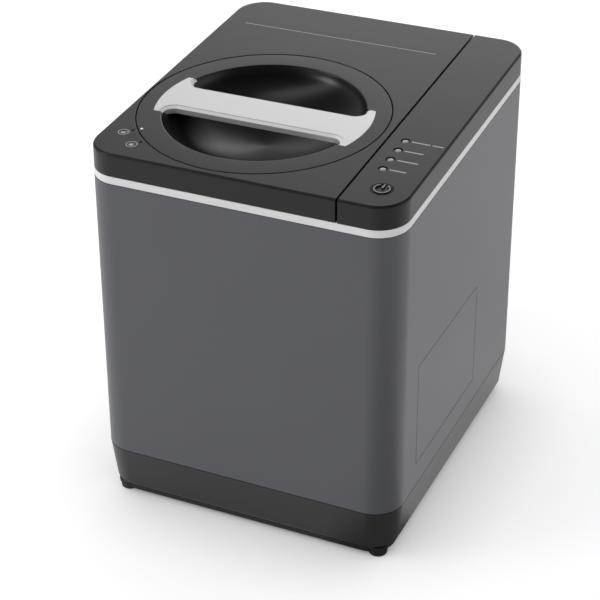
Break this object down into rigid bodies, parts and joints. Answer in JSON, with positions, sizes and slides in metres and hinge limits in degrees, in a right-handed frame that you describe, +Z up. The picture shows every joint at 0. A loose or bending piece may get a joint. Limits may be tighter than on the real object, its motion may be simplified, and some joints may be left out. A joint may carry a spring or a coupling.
{
  "type": "electric food waste composter",
  "caption": "Free-standing electric food waste composter with a sloping lift-off lid, bayonet lock dial with scooped bowl and handle bar, lift-out grinding bucket and side filter bay.",
  "frame": {"origin": "on the floor under the middle of the body's plan", "axes": "+Z up, -Y towards the low front edge, +X to the right where the console strip and the filter cover are"},
  "size_m": [0.28, 0.32, 0.3609],
  "materials": {
    "rubber": "matt",
    "screw": "satin",
    "base_plastic": "satin",
    "under_plastic": "matt",
    "frame_steel": "plain",
    "wrap_paint": "satin",
    "trim_white": "satin",
    "cap_plastic": "satin",
    "deck_plastic": "satin",
    "well_steel": "brushed",
    "heater_alloy": "cast",
    "felt": "felted",
    "gearbox_alloy": "cast",
    "motor_metal": "plain",
    "inner_plastic": "matt",
    "board": "plain",
    "lens": "frosted",
    "seal_rubber": "soft",
    "handle_silver": "satin",
    "shield_alloy": "satin",
    "mark_white": "printed",
    "bucket_coat": "non-stick coating",
    "grinder_steel": "cast and ground",
    "bail_plastic": "satin",
    "shaft_steel": "ground",
    "gear_plastic": "plain",
    "gear_brass": "cut",
    "inlet_plastic": "plain",
    "cover_paint": "satin",
    "cartridge_plastic": "matt",
    "button_plastic": "satin"
  },
  "bodies": {
    "chassis": {"rubber_feet": "rubber", "foot_screws": "screw", "bottom_plate": "under_plastic", "base_skirt": "base_plastic", "frame_pillars": "frame_steel", "body_wrap": "wrap_paint", "trim_band": "trim_white", "top_deck": "deck_plastic", "well_liner": "well_steel", "heater_plate": "heater_alloy", "insulation": "felt", "gearbox_base": "gearbox_alloy", "gearbox_cover": "gearbox_alloy", "drive_motor": "motor_metal", "filter_bay": "inner_plastic", "fan_housing": "inner_plastic", "air_duct": "inner_plastic", "rear_panel": "inner_plastic", "rear_screws": "screw", "power_inlet": "inlet_plastic", "console_cover": "cap_plastic", "led_lenses": "lens", "control_board": "board"},
    "lid": {"lid_cover": "cap_plastic", "lid_liner": "deck_plastic", "lid_seal": "seal_rubber"},
    "dial": {"dial": "cap_plastic", "handle_bar": "handle_silver", "lock_ring": "deck_plastic", "heat_shield": "shield_alloy", "dial_mark": "mark_white"},
    "bucket": {"bucket": "bucket_coat", "bucket_combs": "grinder_steel"},
    "bail": {"bail_handle": "bail_plastic"},
    "rotor": {"grinder_rotor": "grinder_steel"},
    "drive": {"drive_shaft": "shaft_steel", "output_gear": "gear_plastic"},
    "idler": {"idler_gear": "gear_plastic"},
    "pinion": {"motor_pinion": "gear_brass"},
    "button": {"power_button": "button_plastic"},
    "side_cover": {"filter_cover": "cover_paint"},
    "front_cartridge": {"filter_cartridge_front": "cartridge_plastic"},
    "rear_cartridge": {"filter_cartridge_rear": "cartridge_plastic"},
    "fan": {"fan_impeller": "inner_plastic"}
  },
  "joints": [
    {"name": "lid_lift", "type": "slide", "parent": "chassis", "child": "lid", "axis": [0, 0, 1], "range_m": [0, 0.45]},
    {"name": "dial_turn", "type": "hinge", "parent": "lid", "child": "dial", "pos_m": [-0.028, -0.04491, 0.34847], "axis": [0, -0.061, 0.9981], "range_deg": [0, 11.5]},
    {"name": "bucket_lift", "type": "slide", "parent": "chassis", "child": "bucket", "axis": [0, 0, 1], "range_m": [0, 0.225]},
    {"name": "bail_swing", "type": "hinge", "parent": "bucket", "child": "bail", "pos_m": [-0.028, -0.0425, 0.29199], "axis": [-1, 0, 0], "range_deg": [0, 90]},
    {"name": "rotor_spin", "type": "hinge", "parent": "bucket", "child": "rotor", "pos_m": [-0.028, -0.0425, 0.1725], "axis": [0, 0, 1], "continuous": true},
    {"name": "drive_spin", "type": "hinge", "parent": "chassis", "child": "drive", "pos_m": [-0.028, -0.0425, 0.14], "axis": [0, 0, 1], "continuous": true},
    {"name": "idler_spin", "type": "hinge", "parent": "chassis", "child": "idler", "pos_m": [-0.07492, -0.00313, 0.128], "axis": [0, 0, 1], "continuous": true},
    {"name": "motor_spin", "type": "hinge", "parent": "chassis", "child": "pinion", "pos_m": [-0.05292, 0.03497, 0.12], "axis": [0, 0, 1], "continuous": true},
    {"name": "power_press", "type": "slide", "parent": "chassis", "child": "button", "axis": [0, 0.061, -0.9981], "range_m": [0, 0.0008], "stiffness_N_per_m": 1500},
    {"name": "side_cover_off", "type": "slide", "parent": "chassis", "child": "side_cover", "axis": [1, 0, 0], "range_m": [0, 0.25]},
    {"name": "front_cartridge_pull", "type": "slide", "parent": "chassis", "child": "front_cartridge", "axis": [1, 0, 0], "range_m": [0, 0.15]},
    {"name": "rear_cartridge_pull", "type": "slide", "parent": "chassis", "child": "rear_cartridge", "axis": [1, 0, 0], "range_m": [0, 0.15]},
    {"name": "fan_spin", "type": "hinge", "parent": "chassis", "child": "fan", "pos_m": [0.0992, 0.0618, 0.1224], "axis": [0, 1, 0], "continuous": true}
  ],
  "couplings": [
    {"joint": "bucket_lift", "follows": "lid_lift", "ratio": 0.5},
    {"joint": "bail_swing", "follows": "lid_lift", "rad_per_m": 3.4907},
    {"joint": "rotor_spin", "follows": "drive_spin", "ratio": 1},
    {"joint": "idler_spin", "follows": "drive_spin", "ratio": -2.7692},
    {"joint": "motor_spin", "follows": "drive_spin", "ratio": 7.3846},
    {"joint": "front_cartridge_pull", "follows": "side_cover_off", "ratio": 0.6},
    {"joint": "rear_cartridge_pull", "follows": "side_cover_off", "ratio": 0.6}
  ]
}
